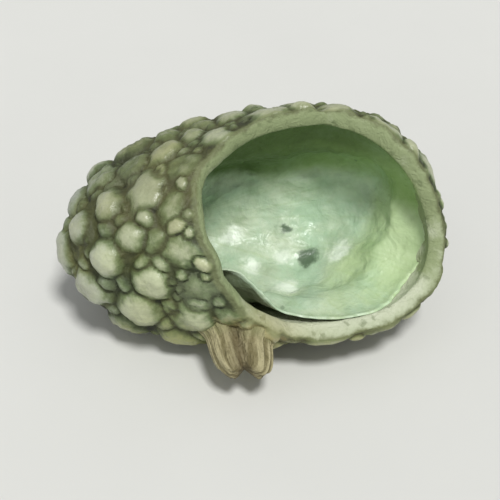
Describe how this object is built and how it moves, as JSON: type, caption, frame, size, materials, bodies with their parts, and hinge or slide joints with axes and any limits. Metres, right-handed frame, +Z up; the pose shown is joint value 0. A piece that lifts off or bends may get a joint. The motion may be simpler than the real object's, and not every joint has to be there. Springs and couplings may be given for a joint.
{
  "type": "green sichuan peppercorn",
  "caption": "Dried, split green Sichuan peppercorn husk lying on its side: warty gland-covered skin, open mouth with a loosened pale papery lining, and a short stub of stalk.",
  "frame": {"origin": "middle of the bounding box on the surface that the husk lies on", "axes": "+X from the closed back to the open end, +Y away from the open front, +Z up"},
  "size_m": [0.0052, 0.0036, 0.0031],
  "materials": {
    "husk_skin": "dried green plant skin, waxy on the raised glands and matt in the valleys",
    "papery_lining": "smooth pale green to cream plant membrane with a soft sheen",
    "dry_stalk": "dry tan fibrous stalk"
  },
  "bodies": {
    "root": {"husk": "husk_skin", "lining": "papery_lining", "stalk": "dry_stalk"}
  },
  "joints": []
}
